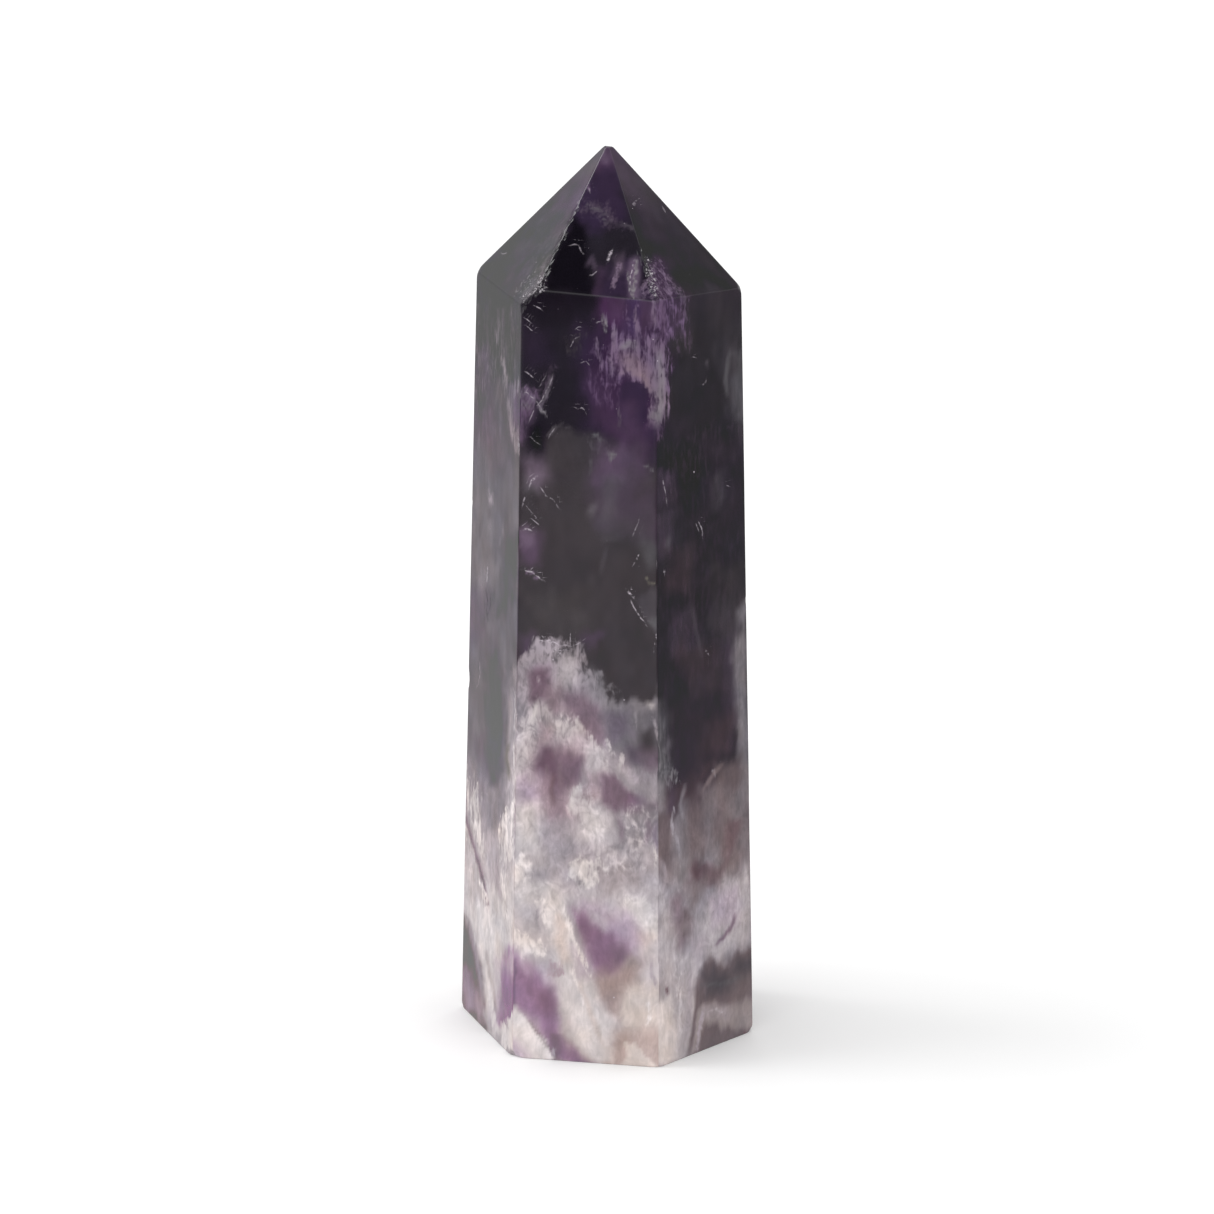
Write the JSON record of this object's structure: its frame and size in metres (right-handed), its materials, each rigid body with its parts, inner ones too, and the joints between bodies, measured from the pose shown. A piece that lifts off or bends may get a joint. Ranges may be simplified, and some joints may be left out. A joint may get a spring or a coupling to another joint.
{
  "type": "chevron amethyst point",
  "caption": "Polished six-sided quartz prism in banded purple, white and smoky grey, sawn flat at its foot to stand upright and brought to a blunt pyramidal point.",
  "frame": {"origin": "centre of the bounding box in plan, on the surface that the sawn foot rests on", "axes": "+Z along the prism, up to the point; -Y out of the front facet; +X to the right seen from the front"},
  "size_m": [0.0286, 0.024, 0.085],
  "materials": {
    "amethyst": "polished"
  },
  "bodies": {
    "root": {"amethyst_point": "amethyst"}
  },
  "joints": []
}
